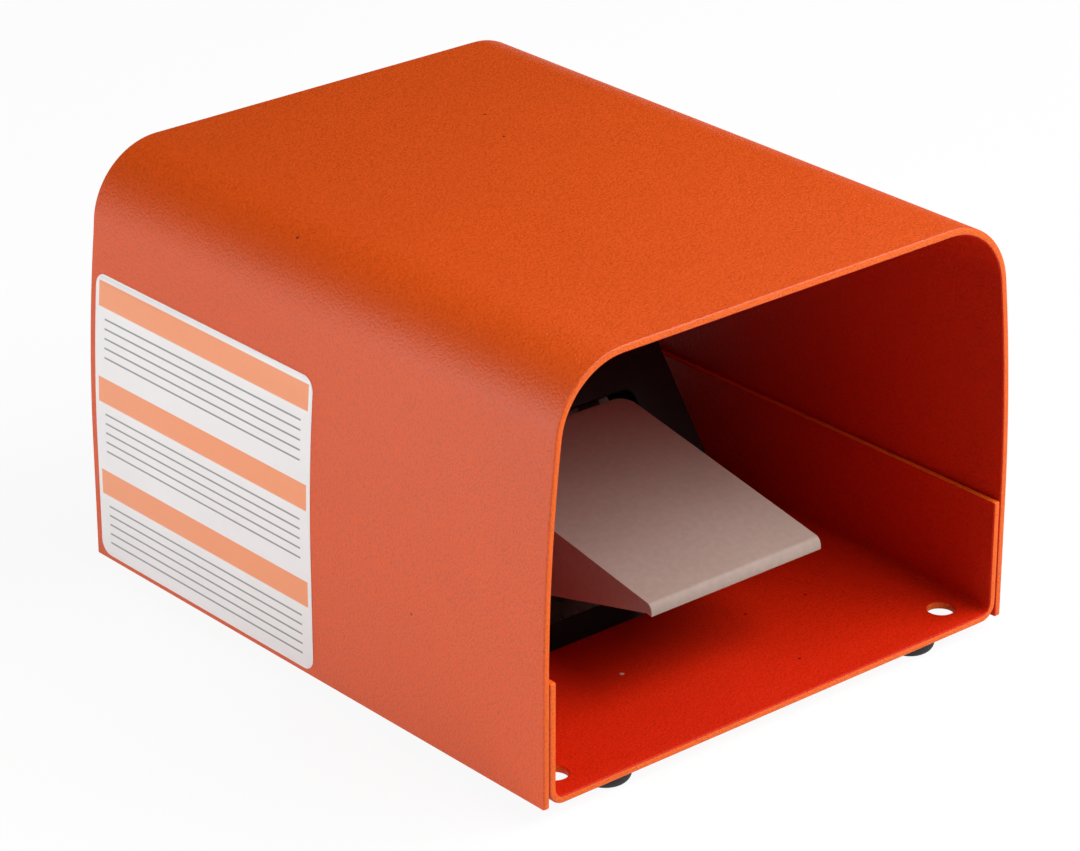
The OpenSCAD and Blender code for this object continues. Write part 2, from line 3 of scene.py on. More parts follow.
import bmesh
import bpy
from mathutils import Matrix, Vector


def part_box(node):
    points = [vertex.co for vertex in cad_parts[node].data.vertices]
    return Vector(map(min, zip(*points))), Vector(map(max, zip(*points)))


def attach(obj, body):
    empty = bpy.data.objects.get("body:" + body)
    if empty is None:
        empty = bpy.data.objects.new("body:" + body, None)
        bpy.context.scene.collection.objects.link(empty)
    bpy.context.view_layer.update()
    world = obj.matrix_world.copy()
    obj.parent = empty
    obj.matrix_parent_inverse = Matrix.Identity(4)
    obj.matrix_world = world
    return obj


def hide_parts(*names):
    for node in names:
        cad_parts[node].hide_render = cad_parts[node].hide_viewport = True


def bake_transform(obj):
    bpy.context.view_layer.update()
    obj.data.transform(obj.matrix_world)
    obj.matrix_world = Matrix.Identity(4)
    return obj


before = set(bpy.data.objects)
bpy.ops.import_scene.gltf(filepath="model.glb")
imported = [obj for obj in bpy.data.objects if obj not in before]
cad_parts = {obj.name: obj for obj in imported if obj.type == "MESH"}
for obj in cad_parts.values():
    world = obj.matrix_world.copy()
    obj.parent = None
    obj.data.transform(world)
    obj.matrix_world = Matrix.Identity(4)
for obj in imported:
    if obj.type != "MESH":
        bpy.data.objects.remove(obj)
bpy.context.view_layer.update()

# ---------------------------------------------------------------------------
# View: a long lens from the front left, looking a little down on the guard's
# crown from about a metre away, so the sides converge only slightly.


def placed(name, data):
    """A new object in the scene, with the given data."""
    obj = bpy.data.objects.new(name, data)
    bpy.context.scene.collection.objects.link(obj)
    return obj


def aim_along(obj, direction):
    """Turns a camera or a lamp to face along a direction."""
    obj.rotation_mode = "QUATERNION"
    obj.rotation_quaternion = direction.to_track_quat("-Z", "Y")


cam_data = bpy.data.cameras.new("camera")
cam_data.sensor_width = 36.0
cam_data.lens = 139.8
camera = placed("camera", cam_data)
camera.location = (-0.61726, -0.71657, 0.48157)
azimuth, elevation = math.radians(-40.711), math.radians(24.661)
aim_along(camera, -Vector((
    math.sin(azimuth) * math.cos(elevation),
    -math.cos(azimuth) * math.cos(elevation),
    math.sin(elevation),
)))
bpy.context.scene.camera = camera
bpy.context.scene.view_settings.view_transform = "Standard"

# ---------------------------------------------------------------------------
# Studio: a white floor, a large soft box high on the right, a second one before
# the guard's mouth and a low one at the left. The room above is kept dim.


def area_light(name, size, power, place, aim):
    """A soft box of a size in metres and a power in watts, aimed at a point."""
    lamp = bpy.data.lights.new(name, "AREA")
    lamp.shape = "RECTANGLE"
    lamp.size, lamp.size_y = size
    lamp.energy = power
    obj = placed(name, lamp)
    obj.location = place
    aim_along(obj, Vector(aim) - Vector(place))


area_light("soft_box_top", (0.9, 0.9), 17.4, (0.60, -0.52, 0.96), (0, 0, 0.09))
area_light("soft_box_front", (0.42, 0.8), 5.6, (0.09, -0.93, 1.04), (0, -0.06, 0.03))
area_light("soft_box_left", (0.9, 0.5), 10.3, (-1.12, 0.30, 0.13), (0, 0, 0.06))

# The room: dim for the pieces, plain white where the camera sees it.
world = bpy.data.worlds.new("studio")
bpy.context.scene.world = world
world.use_nodes = True
room = world.node_tree
room.nodes.clear()
room_out = room.nodes.new("ShaderNodeOutputWorld")
room_mix = room.nodes.new("ShaderNodeMixShader")
room_ray = room.nodes.new("ShaderNodeLightPath")
room.links.new(room_ray.outputs["Is Camera Ray"], room_mix.inputs[0])
for spot, color, strength in ((1, (1.0, 0.98, 0.96, 1), 0.018), (2, (1, 1, 1, 1), 1.0)):
    backdrop = room.nodes.new("ShaderNodeBackground")
    backdrop.inputs["Color"].default_value = color
    backdrop.inputs["Strength"].default_value = strength
    room.links.new(backdrop.outputs[0], room_mix.inputs[spot])
room.links.new(room_mix.outputs[0], room_out.inputs["Surface"])


def new_material(name):
    """A material, its node tree and the tree's output node."""
    mat = bpy.data.materials.new(name)
    mat.use_nodes = True
    mat.node_tree.nodes.clear()
    return mat, mat.node_tree, mat.node_tree.nodes.new("ShaderNodeOutputMaterial")


def calc(tree, operation, *values):
    """A sum on numbers or sockets."""
    node = tree.nodes.new("ShaderNodeMath")
    node.operation = operation
    for i, value in enumerate(values):
        if isinstance(value, (int, float)):
            node.inputs[i].default_value = value
        else:
            tree.links.new(value, node.inputs[i])
    return node.outputs[0]


def ramp(tree, value, low, high, to_low, to_high):
    """Carries low..high over to to_low..to_high, and holds at both ends."""
    node = tree.nodes.new("ShaderNodeMapRange")
    limits = {"From Min": low, "From Max": high, "To Min": to_low, "To Max": to_high}
    for socket, number in limits.items():
        node.inputs[socket].default_value = number
    tree.links.new(value, node.inputs["Value"])
    return node.outputs[0]


# The floor is matt, and glows for the camera. It glows in reflections too, less
# and less towards the front right, as a paper sweep does.
floor_shade = 0.93
floor_glow_share = 0.93
floor_mat, floor_tree, floor_out = new_material("floor_white")
floor_mix = floor_tree.nodes.new("ShaderNodeMixShader")
floor_matt = floor_tree.nodes.new("ShaderNodeBsdfDiffuse")
floor_matt.inputs["Color"].default_value = (floor_shade, floor_shade, floor_shade, 1)
floor_glow = floor_tree.nodes.new("ShaderNodeEmission")
floor_glow.inputs["Color"].default_value = (1, 1, 1, 1)
floor_ray = floor_tree.nodes.new("ShaderNodeLightPath")
floor_coords = floor_tree.nodes.new("ShaderNodeTexCoord")
sweep_line = floor_tree.nodes.new("ShaderNodeVectorMath")
sweep_line.operation = "DOT_PRODUCT"
sweep_line.inputs[1].default_value = (-0.65, 0.75, 0)
floor_tree.links.new(floor_coords.outputs["Object"], sweep_line.inputs[0])
sweep = ramp(floor_tree, sweep_line.outputs["Value"], -0.2, 0.0, 0.12, 1.0)
mirrored = calc(floor_tree, "MULTIPLY", floor_ray.outputs["Is Glossy Ray"], sweep)
seen = calc(floor_tree, "MAXIMUM", floor_ray.outputs["Is Camera Ray"], mirrored)
glow_share = calc(floor_tree, "MULTIPLY", seen, floor_glow_share)
floor_tree.links.new(glow_share, floor_mix.inputs[0])
floor_tree.links.new(floor_matt.outputs[0], floor_mix.inputs[1])
floor_tree.links.new(floor_glow.outputs[0], floor_mix.inputs[2])
floor_tree.links.new(floor_mix.outputs[0], floor_out.inputs["Surface"])
floor_half = 8.0
floor_corners = [(x * floor_half, y * floor_half, 0)
                 for x, y in ((-1, -1), (1, -1), (1, 1), (-1, 1))]
floor_mesh = bpy.data.meshes.new("floor")
floor_mesh.from_pydata(floor_corners, [], [(0, 1, 2, 3)])
floor_mesh.materials.append(floor_mat)
floor = placed("floor", floor_mesh)

# ---------------------------------------------------------------------------
# Guard: an arch of 2 mm sheet steel. A flat blank with deburred edges goes
# through a press brake, and is then powder coated in a fine orange grain.
mm = 0.001


def shaded(name):
    """A material with one Principled shader, its tree and the piece's own coordinates."""
    mat, tree, out = new_material(name)
    bsdf = tree.nodes.new("ShaderNodeBsdfPrincipled")
    tree.links.new(bsdf.outputs[0], out.inputs["Surface"])
    return mat, tree, bsdf, tree.nodes.new("ShaderNodeTexCoord").outputs["Object"]


def noise_on(tree, coords, scale, detail=3.0, rough=0.5):
    tex = tree.nodes.new("ShaderNodeTexNoise")
    tex.inputs["Scale"].default_value = scale
    tex.inputs["Detail"].default_value = detail
    tex.inputs["Roughness"].default_value = rough
    tree.links.new(coords, tex.inputs["Vector"])
    return tex.outputs["Fac"]


def mixed(tree, factor, a, b):
    """Colour a where the factor is 0, and colour b where it is 1."""
    node = tree.nodes.new("ShaderNodeMix")
    node.data_type = "RGBA"
    tree.links.new(factor, node.inputs["Factor"])
    for socket, value in ((node.inputs["A"], a), (node.inputs["B"], b)):
        if isinstance(value, tuple):
            socket.default_value = (*value, 1)
        else:
            tree.links.new(value, socket)
    return node.outputs["Result"]


def bumped(tree, shader, height, strength, distance):
    bump = tree.nodes.new("ShaderNodeBump")
    bump.inputs["Strength"].default_value = strength
    bump.inputs["Distance"].default_value = distance
    tree.links.new(height, bump.inputs["Height"])
    tree.links.new(bump.outputs[0], shader.inputs["Normal"])


def tinted(color, factor):
    return tuple(min(1.0, c * factor) for c in color)


def powder_coat(name, color, rough, grain=1.0, fleck=None, specular=0.5):
    """Thermoset powder coat: fine orange peel, slight drift in tone, a few dark specks,
    and if asked one pale fleck where the coat has been chipped."""
    mat, tree, bsdf, coords = shaded(name)
    bsdf.inputs["Specular IOR Level"].default_value = specular
    peel = noise_on(tree, coords, scale=1600.0, rough=0.6)
    drift = noise_on(tree, coords, scale=26.0)
    tone = mixed(tree, drift, tinted(color, 0.93), tinted(color, 1.05))
    # The low spots of the orange peel, which the bump also dents, are painted darker: painted shade
    # in the peel's hollows.
    peel_dips_painted_shade = ramp(tree, peel, 0.3, 0.55, 0.8, 0.0)
    tone = mixed(tree, peel_dips_painted_shade, tone, tinted(color, 0.68))
    cells = tree.nodes.new("ShaderNodeTexVoronoi")
    cells.inputs["Scale"].default_value = 160.0
    tree.links.new(coords, cells.inputs["Vector"])
    lot = tree.nodes.new("ShaderNodeSeparateColor")
    tree.links.new(cells.outputs["Color"], lot.inputs[0])
    dots = ramp(tree, cells.outputs["Distance"], 0.045, 0.085, 0.9, 0.0)
    few = calc(tree, "GREATER_THAN", lot.outputs[0], 0.92)
    tone = mixed(tree, calc(tree, "MULTIPLY", dots, few), tone, tinted(color, 0.12))
    if fleck:
        away = tree.nodes.new("ShaderNodeVectorMath")
        away.operation = "DISTANCE"
        away.inputs[1].default_value = fleck
        tree.links.new(coords, away.inputs[0])
        chip = ramp(tree, away.outputs["Value"], 0.35 * mm, 0.75 * mm, 0.9, 0.0)
        tone = mixed(tree, chip, tone, (0.8, 0.45, 0.38))
    tree.links.new(tone, bsdf.inputs["Base Color"])
    sheen = ramp(tree, peel, 0.3, 0.7, rough - 0.08, rough + 0.08)
    tree.links.new(sheen, bsdf.inputs["Roughness"])
    bumped(tree, bsdf, peel, 0.72 * grain, 0.3 * mm)
    return mat


def smoothed(mesh, limit):
    """Shades a mesh smooth, but for edges that turn by more than limit degrees."""
    for poly in mesh.polygons:
        poly.use_smooth = True
    mesh.set_sharp_from_angle(angle=math.radians(limit))


def finished(name, mesh, smooth=35):
    """An object from a mesh: doubles merged, faces outward, smooth but for sharp edges."""
    bm = bmesh.new()
    bm.from_mesh(mesh)
    bmesh.ops.remove_doubles(bm, verts=bm.verts, dist=0.001 * mm)
    bmesh.ops.recalc_face_normals(bm, faces=bm.faces)
    bm.to_mesh(mesh)
    bm.free()
    smoothed(mesh, smooth)
    return placed(name, mesh)


def baked(obj, smooth=35):
    """The object as a plain mesh, with what its modifiers make."""
    graph = bpy.context.evaluated_depsgraph_get()
    mesh = bpy.data.meshes.new_from_object(obj.evaluated_get(graph))
    mesh.name = name = obj.name
    bpy.data.objects.remove(obj)
    smoothed(mesh, smooth)
    return placed(name, mesh)


def settle(obj, body, slot, *nodes):
    """Puts the piece in its body and hides the CAD nodes it stands for. The finish slot is not
    used.
    """
    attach(obj, body)
    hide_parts(*nodes)


def node_tree(name, *inputs):
    """A geometry tree with named inputs, and its input and output nodes."""
    tree = bpy.data.node_groups.new(name, "GeometryNodeTree")
    tree.interface.new_socket("Geometry", in_out="INPUT", socket_type="NodeSocketGeometry")
    for socket, kind in inputs:
        tree.interface.new_socket(socket, in_out="INPUT", socket_type="NodeSocket" + kind)
    tree.interface.new_socket("Geometry", in_out="OUTPUT", socket_type="NodeSocketGeometry")
    return tree, tree.nodes.new("NodeGroupInput"), tree.nodes.new("NodeGroupOutput")


def close_tree(tree, geometry, group_in, group_out):
    """Ends a tree in Realize Instances and Set Material."""
    real = tree.nodes.new("GeometryNodeRealizeInstances")
    coat = tree.nodes.new("GeometryNodeSetMaterial")
    tree.links.new(geometry, real.inputs[0])
    tree.links.new(real.outputs[0], coat.inputs["Geometry"])
    tree.links.new(group_in.outputs["Material"], coat.inputs["Material"])
    tree.links.new(coat.outputs[0], group_out.inputs[0])


def run_tree(obj, tree, smooth=35, **values):
    """Runs a geometry tree on an object and keeps what it makes as a plain mesh."""
    mod = obj.modifiers.new(tree.name, "NODES")
    mod.node_group = tree
    for item in tree.interface.items_tree:
        key = item.name.replace(" ", "_").lower()
        if item.in_out == "INPUT" and key in values:
            mod[item.identifier] = values[key]
    return baked(obj, smooth)


def press_brake_tree():
    """One stroke of the press brake bends both wings of a blank down about lines at
    plus and minus Start. The outer face keeps its length, and Angle is in radians."""
    tree, stroke, bent = node_tree(
        "press_brake", ("Start", "Float"), ("Radius", "Float"), ("Angle", "Float"))
    start, radius, angle = (stroke.outputs[socket] for socket in ("Start", "Radius", "Angle"))
    flat = tree.nodes.new("ShaderNodeSeparateXYZ")
    tree.links.new(tree.nodes.new("GeometryNodeInputPosition").outputs[0], flat.inputs[0])
    across = calc(tree, "ABSOLUTE", flat.outputs["X"])
    past = calc(tree, "SUBTRACT", across, start)
    turn = calc(tree, "MAXIMUM", calc(tree, "DIVIDE", past, radius), 0.0)
    turn = calc(tree, "MINIMUM", turn, angle)
    arc = calc(tree, "MULTIPLY", radius, angle)
    tail = calc(tree, "MAXIMUM", calc(tree, "SUBTRACT", past, arc), 0.0)
    reach = calc(tree, "ADD", radius, flat.outputs["Z"])
    sine = calc(tree, "SINE", turn)
    cosine = calc(tree, "COSINE", turn)
    swung = calc(tree, "ADD", calc(tree, "MULTIPLY", reach, sine),
                 calc(tree, "MULTIPLY", tail, cosine))
    bent_x = calc(tree, "ADD", calc(tree, "MINIMUM", across, start), swung)
    dropped = calc(tree, "ADD", radius, calc(tree, "MULTIPLY", tail, sine))
    bent_z = calc(tree, "SUBTRACT", calc(tree, "MULTIPLY", reach, cosine), dropped)
    wing = calc(tree, "SIGN", flat.outputs["X"])
    joined = tree.nodes.new("ShaderNodeCombineXYZ")
    tree.links.new(calc(tree, "MULTIPLY", bent_x, wing), joined.inputs["X"])
    tree.links.new(flat.outputs["Y"], joined.inputs["Y"])
    tree.links.new(bent_z, joined.inputs["Z"])
    moved = tree.nodes.new("GeometryNodeSetPosition")
    tree.links.new(stroke.outputs["Geometry"], moved.inputs["Geometry"])
    tree.links.new(joined.outputs[0], moved.inputs["Position"])
    tree.links.new(moved.outputs[0], bent.inputs[0])
    return tree


def bending_programme_tree():
    """The brake's programme: the outer stroke comes before the inner one, then the
    bent sheet is turned over if it has to be, and lifted to its height."""
    tree, program, product = node_tree(
        "bending_programme",
        ("Outer Start", "Float"), ("Outer Radius", "Float"), ("Outer Angle", "Float"),
        ("Inner Start", "Float"), ("Inner Radius", "Float"), ("Inner Angle", "Float"),
        ("Lift", "Vector"), ("Turn", "Vector"), ("Material", "Material"))
    press_brake = press_brake_tree()
    sheet_flow = program.outputs["Geometry"]
    for bend in ("Outer", "Inner"):
        stroke = tree.nodes.new("GeometryNodeGroup")
        stroke.node_tree = press_brake
        tree.links.new(sheet_flow, stroke.inputs["Geometry"])
        for setting in ("Start", "Radius", "Angle"):
            tree.links.new(program.outputs[f"{bend} {setting}"], stroke.inputs[setting])
        sheet_flow = stroke.outputs[0]
    lift = tree.nodes.new("GeometryNodeTransform")
    tree.links.new(sheet_flow, lift.inputs["Geometry"])
    tree.links.new(program.outputs["Lift"], lift.inputs["Translation"])
    tree.links.new(program.outputs["Turn"], lift.inputs["Rotation"])
    close_tree(tree, lift.outputs[0], program, product)
    return tree


def quarter_round(edge, r, steps, inward=-1):
    """(place, inset) points of a quarter circle that ends on an edge, where the inset
    is the whole radius. Inward is the side of the edge on which the piece lies."""
    return [(edge + inward * r * (1 - math.sin(a)), r * (1 - math.cos(a)))
            for a in (math.radians(90 * i / steps) for i in range(steps + 1))]


def plate_of_rows(name, rows, steps=4):
    """A closed plate from cross rows (x, top, bottom, front, rear, radius), each of them
    a slot with rounded corners between two heights and two places along the sheet."""
    verts = []
    for x, top, bottom, front, rear, r in rows:
        for z, y, first in ((top - r, rear - r, 0), (top - r, front + r, 90),
                            (bottom + r, front + r, 180), (bottom + r, rear - r, 270)):
            for i in range(steps + 1):
                a = math.radians(first + 90 * i / steps)
                verts.append((x, y + r * math.cos(a), z + r * math.sin(a)))
    n = 4 * (steps + 1)
    last = (len(rows) - 1) * n
    faces = [(i * n + k, i * n + (k + 1) % n, (i + 1) * n + (k + 1) % n, (i + 1) * n + k)
             for i in range(len(rows) - 1) for k in range(n)]
    faces += [tuple(range(n)), tuple(last + k for k in range(n))]
    mesh = bpy.data.meshes.new(name)
    mesh.from_pydata(verts, [], faces)
    return finished(name, mesh)


def blank_rows(places, thick, length, r, hollow=0.0, hollow_from=0.0):
    """Rows of a flat blank, outer face at z = 0, all edges rounded. Past hollow_from the
    left wing's outer face lies deeper by hollow, where a film is laid on it."""
    ends = quarter_round(places[-1], r, 5)
    stations = [(-x, shrink) for x, shrink in reversed(ends)]
    stations += [(-x, 0) for x in reversed(places[:-1])]
    stations += [(x, 0) for x in places[:-1] if x > 0] + ends
    rows = []
    for x, shrink in stations:
        sunk = hollow if x < -hollow_from else 0.0
        rows.append((x, -sunk - shrink, shrink - thick, shrink - length / 2,
                     length / 2 - shrink, max(r - shrink, 0.02 * r)))
    return rows


def evenly(low, high, count):
    """The ends of count equal steps from low to high."""
    return [low + (high - low) * i / count for i in range(1, count + 1)]


def blank_sides(blank):
    """For each face of a flat blank: 0 its outer side, 1 its inner side, 2 its edges."""
    ups = [poly.normal.z for poly in blank.data.polygons]
    return [0 if up > 0.5 else 1 if up < -0.5 else 2 for up in ups]


def coated(obj, sides, *coats):
    """Gives the outer side, the inner side and the edges of a bent blank their coats. Here the
    inner coat is painted shade and the edge coat painted light.
    """
    obj.data.materials.clear()
    for coat in coats:
        obj.data.materials.append(coat)
    for poly, side in zip(obj.data.polygons, sides):
        poly.material_index = side


hood_low, hood_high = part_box("hood")
tray_low, tray_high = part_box("base_tray")
sheet = 2.0 * mm
edge_round = 0.5 * mm
film = 0.12 * mm
guard_length = hood_high.y - hood_low.y
crown_radius = 20 * mm
wall_lean = math.radians(7.0)
foot_straight = tray_high.z - hood_low.z + 1 * mm
sweep_rise = hood_high.z - hood_low.z - foot_straight - crown_radius
sweep_radius = sweep_rise / math.sin(wall_lean) + crown_radius
sweep_out = (sweep_radius - crown_radius) * (1 - math.cos(wall_lean))
crown_half = hood_high.x - sweep_out - crown_radius
corner_end = crown_half + crown_radius * (math.pi / 2 - wall_lean)
sweep_end = corner_end + sweep_radius * wall_lean
wing_end = sweep_end + foot_straight
guard_bends = {
    "outer_start": corner_end, "outer_radius": sweep_radius, "outer_angle": wall_lean,
    "inner_start": crown_half, "inner_radius": crown_radius,
    "inner_angle": math.pi / 2 - wall_lean, "lift": (0, 0, hood_high.z), "turn": (0, 0, 0),
}
chip_in_tray = (-19.5 * mm, -52.2 * mm, 5.5 * mm)
orange_outside = powder_coat("orange_coat_outside", (0.74, 0.081, 0.002), 0.46)
# The inside coat is a darker, redder copy of the orange paint with less sheen: painted shade inside
# the guard and on the tray's floor.
orange_painted_shade_inside = powder_coat(
    "orange_coat_inside", (0.62, 0.0160, 0.001), 0.46, fleck=chip_in_tray, specular=0.14)
# The edge coat is a lighter, more orange copy of the same paint: painted light on the sheet's rims.
orange_painted_light_edges = powder_coat(
    "orange_coat_edges", (0.88, 0.135, 0.010), 0.46, grain=1.2, specular=0.2)
bending = bending_programme_tree()
hood_places = [0.0, crown_half] + evenly(crown_half, corner_end, 24)
hood_places += evenly(corner_end, sweep_end, 14) + [wing_end]
hood_blank = plate_of_rows("hood_shell", blank_rows(
    hood_places, sheet, guard_length, edge_round, film, corner_end))
hood_sides = blank_sides(hood_blank)
hood = run_tree(hood_blank, bending, material=orange_outside, **guard_bends)
# The inner side takes the painted shade coat, the edges the painted light coat.
coated(hood, hood_sides, orange_outside, orange_painted_shade_inside, orange_painted_light_edges)
settle(hood, "base", "orange_paint", "hood")

# ---------------------------------------------------------------------------
# Side label: a vinyl film with rounded corners on the left wall, printed with
# three orange bands and ruled empty lines. It is a blank record plate, unlettered.


def record_print(name, low, high, front, rear):
    """Print by height and place: three bands, and under each its ruled lines."""
    mat, tree, bsdf, coords = shaded(name)
    bsdf.inputs["Roughness"].default_value = 0.42
    bsdf.inputs["Specular IOR Level"].default_value = 0.4
    place = tree.nodes.new("ShaderNodeSeparateXYZ")
    tree.links.new(coords, place.inputs[0])

    def between(value, a, b, soft):
        rise = ramp(tree, value, a - soft, a + soft, 0.0, 1.0)
        fall = ramp(tree, value, b - soft, b + soft, 1.0, 0.0)
        return calc(tree, "MULTIPLY", rise, fall)

    def within_margin(margin):
        return between(place.outputs["Y"], front + margin, rear - margin, 0.05 * mm)

    height = calc(tree, "SUBTRACT", place.outputs["Z"], low)
    share = calc(tree, "FRACT", calc(tree, "DIVIDE", height, (high - low) / 3))
    band = between(share, 0.665, 0.93, 0.004)
    band = calc(tree, "MULTIPLY", band, within_margin(1.4 * mm))
    lines = calc(tree, "FRACT", calc(tree, "MULTIPLY", share, 10.0))
    rule = calc(tree, "MULTIPLY", between(lines, 0.4, 0.58, 0.03), between(share, 0.1, 0.6, 0.002))
    rule = calc(tree, "MULTIPLY", rule, within_margin(4 * mm))
    ink = noise_on(tree, coords, scale=2600.0, detail=2.0)
    fibres = noise_on(tree, coords, scale=60.0)
    paper = mixed(tree, fibres, (0.86, 0.83, 0.83), (0.93, 0.90, 0.90))
    orange = mixed(tree, ink, (0.90, 0.32, 0.15), (0.96, 0.36, 0.18))
    grey = mixed(tree, ink, (0.20, 0.20, 0.20), (0.32, 0.32, 0.32))
    tone = mixed(tree, band, paper, orange)
    tone = mixed(tree, rule, tone, grey)
    tree.links.new(tone, bsdf.inputs["Base Color"])
    bumped(tree, bsdf, ink, 0.12, 0.06 * mm)
    return mat


label_lift = 1.5 * mm
label_low = hood_low.z + label_lift
label_high = hood_low.z + 78.4 * mm
label_front = -2.5 * mm
label_rear = 85.0 * mm
label_corner = 3.5 * mm
label_blank_low = wing_end - label_lift
label_sweep = math.asin((label_high - hood_low.z - foot_straight) / sweep_radius)
label_blank_high = sweep_end - sweep_radius * label_sweep
label_places = list(reversed(quarter_round(label_blank_low, label_corner, 8)))
label_places += [(x, 0.0) for x in evenly(
    label_blank_low - label_corner, label_blank_high + label_corner, 26)][:-1]
label_places += quarter_round(label_blank_high, label_corner, 8, 1)
label_edge_round = 0.03 * mm
record_film = plate_of_rows("side_label", [
    (-x, 0.0, -film, label_front + inset, label_rear - inset, label_edge_round)
    for x, inset in label_places], 2)
record_film = run_tree(
    record_film, bending,
    material=record_print("record_print", label_low, label_high, label_front, label_rear),
    **guard_bends)
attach(record_film, "base")

# ---------------------------------------------------------------------------
# Tray: a shallow channel of the same sheet, spot welded between the guard's walls.
# Four bolt holes at its corners and four screw holes under the switch, all deburred.


def turned(name, profile, places, sides=48):
    """Round pieces from one profile of (radius, height), standing at the given places."""
    verts, faces = [], []
    for px, py, pz in places:
        base = len(verts)
        for rad, z in profile:
            verts += [(px + rad * math.cos(2 * math.pi * k / sides),
                       py + rad * math.sin(2 * math.pi * k / sides), pz + z) for k in range(sides)]
        last = base + (len(profile) - 1) * sides
        faces += [(j + k, j + (k + 1) % sides, j + sides + (k + 1) % sides, j + sides + k)
                  for j in range(base, last, sides) for k in range(sides)]
        faces += [tuple(base + k for k in range(sides)), tuple(last + k for k in range(sides))]
    mesh = bpy.data.meshes.new(name)
    mesh.from_pydata(verts, [], faces)
    return finished(name, mesh)


def hole_cutter(name, places, hole_r, thick, r):
    """Cutters with flared ends, which leave each hole's rim rounded on both faces."""
    half = [(hole_r + 3 * r, r), (hole_r + r, 0.02 * mm)]
    half += [(rad, -depth) for rad, depth in quarter_round(hole_r, r, 5, 1)]
    rings = half + [(rad, -thick - z) for rad, z in reversed(half)]
    return turned(name, rings, [(x, y, 0) for x, y in places])


def cut(obj, cutter):
    """The object less its cutter."""
    mod = obj.modifiers.new("cut", "BOOLEAN")
    mod.operation = "DIFFERENCE"
    mod.solver = "EXACT"
    mod.object = cutter
    made = baked(obj)
    bpy.data.objects.remove(cutter)
    return made


tray_bend = 4.5 * mm
bolt_hole_r = 3.375 * mm
bolt_x, bolt_y = 63.5 * mm, tray_high.y - 9.5 * mm
screws_low, screws_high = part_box("housing_screws")
screw_head_r = 4.0 * mm
screw_hole_r = 2.25 * mm
screw_x = screws_high.x - screw_head_r
screw_ys = (screws_low.y + screw_head_r, screws_high.y - screw_head_r)
tray_start = tray_high.x - tray_bend
tray_arc = tray_start + tray_bend * math.pi / 2
tray_wing = tray_arc + tray_high.z - tray_low.z - tray_bend
tray_places = [0.0, tray_start] + evenly(tray_start, tray_arc, 12) + [tray_wing]
tray_blank = plate_of_rows("tray_channel", blank_rows(tray_places, sheet, guard_length, edge_round))
tray_blank = cut(tray_blank, hole_cutter(
    "bolt_holes", [(sx * bolt_x, sy * bolt_y) for sx in (-1, 1) for sy in (-1, 1)],
    bolt_hole_r, sheet, edge_round))
tray_blank = cut(tray_blank, hole_cutter(
    "screw_holes", [(sx * screw_x, y) for sx in (-1, 1) for y in screw_ys],
    screw_hole_r, sheet, edge_round / 2))
tray_sides = blank_sides(tray_blank)
tray = run_tree(
    tray_blank, bending, outer_start=1.0, outer_radius=1.0, outer_angle=0.0,
    inner_start=tray_start, inner_radius=tray_bend, inner_angle=math.pi / 2,
    lift=(0, 0, tray_low.z), turn=(0, math.pi, 0), material=orange_outside)
# The inner side takes the painted shade coat, the edges the painted light coat.
coated(tray, tray_sides, orange_outside, orange_painted_shade_inside, orange_painted_light_edges)
settle(tray, "base", "orange_paint", "base_tray")

# ---------------------------------------------------------------------------
# Feet: four bumpers of soft black rubber, stuck under the tray near its ends.
# Each is moulded round with a soft lower edge, and all four are repeats of one.


def rubber(name, color, rough):
    """Moulded rubber: dull, with a fine sandy skin and a little bloom."""
    mat, tree, bsdf, coords = shaded(name)
    bsdf.inputs["Roughness"].default_value = rough
    bsdf.inputs["Specular IOR Level"].default_value = 0.35
    skin = noise_on(tree, coords, scale=2600.0, detail=2.0)
    bloom = noise_on(tree, coords, scale=260.0)
    tree.links.new(mixed(tree, bloom, color, tinted(color, 2.0)), bsdf.inputs["Base Color"])
    bumped(tree, bsdf, skin, 0.3, 0.1 * mm)
    return mat


def repeat_tree():
    """Stands copies of a piece on a grid about a centre."""
    tree, pattern_in, pattern_out = node_tree(
        "repeat_on_grid", ("Count Across", "Int"), ("Count Along", "Int"),
        ("Span Across", "Float"), ("Span Along", "Float"), ("Centre", "Vector"),
        ("Material", "Material"))
    grid = tree.nodes.new("GeometryNodeMeshGrid")
    for wanted, socket in (("Span Across", "Size X"), ("Span Along", "Size Y"),
                           ("Count Across", "Vertices X"), ("Count Along", "Vertices Y")):
        tree.links.new(pattern_in.outputs[wanted], grid.inputs[socket])
    copies = tree.nodes.new("GeometryNodeInstanceOnPoints")
    tree.links.new(grid.outputs["Mesh"], copies.inputs["Points"])
    tree.links.new(pattern_in.outputs["Geometry"], copies.inputs["Instance"])
    shifted = tree.nodes.new("GeometryNodeTransform")
    tree.links.new(copies.outputs[0], shifted.inputs["Geometry"])
    tree.links.new(pattern_in.outputs["Centre"], shifted.inputs["Translation"])
    close_tree(tree, shifted.outputs[0], pattern_in, pattern_out)
    return tree


repeat = repeat_tree()


def repeated(obj, mat, low, high, half_size, counts=(2, 2), z=0.0, smooth=35):
    """Copies of one piece at the corners of a node's box, inset by the piece's half size."""
    spans = [high[i] - low[i] - 2 * half_size if counts[i] > 1 else 0.0 for i in (0, 1)]
    centre = ((low[0] + high[0]) / 2, (low[1] + high[1]) / 2, z)
    return run_tree(obj, repeat, smooth, count_across=counts[0], count_along=counts[1],
                    span_across=spans[0], span_along=spans[1], centre=centre, material=mat)


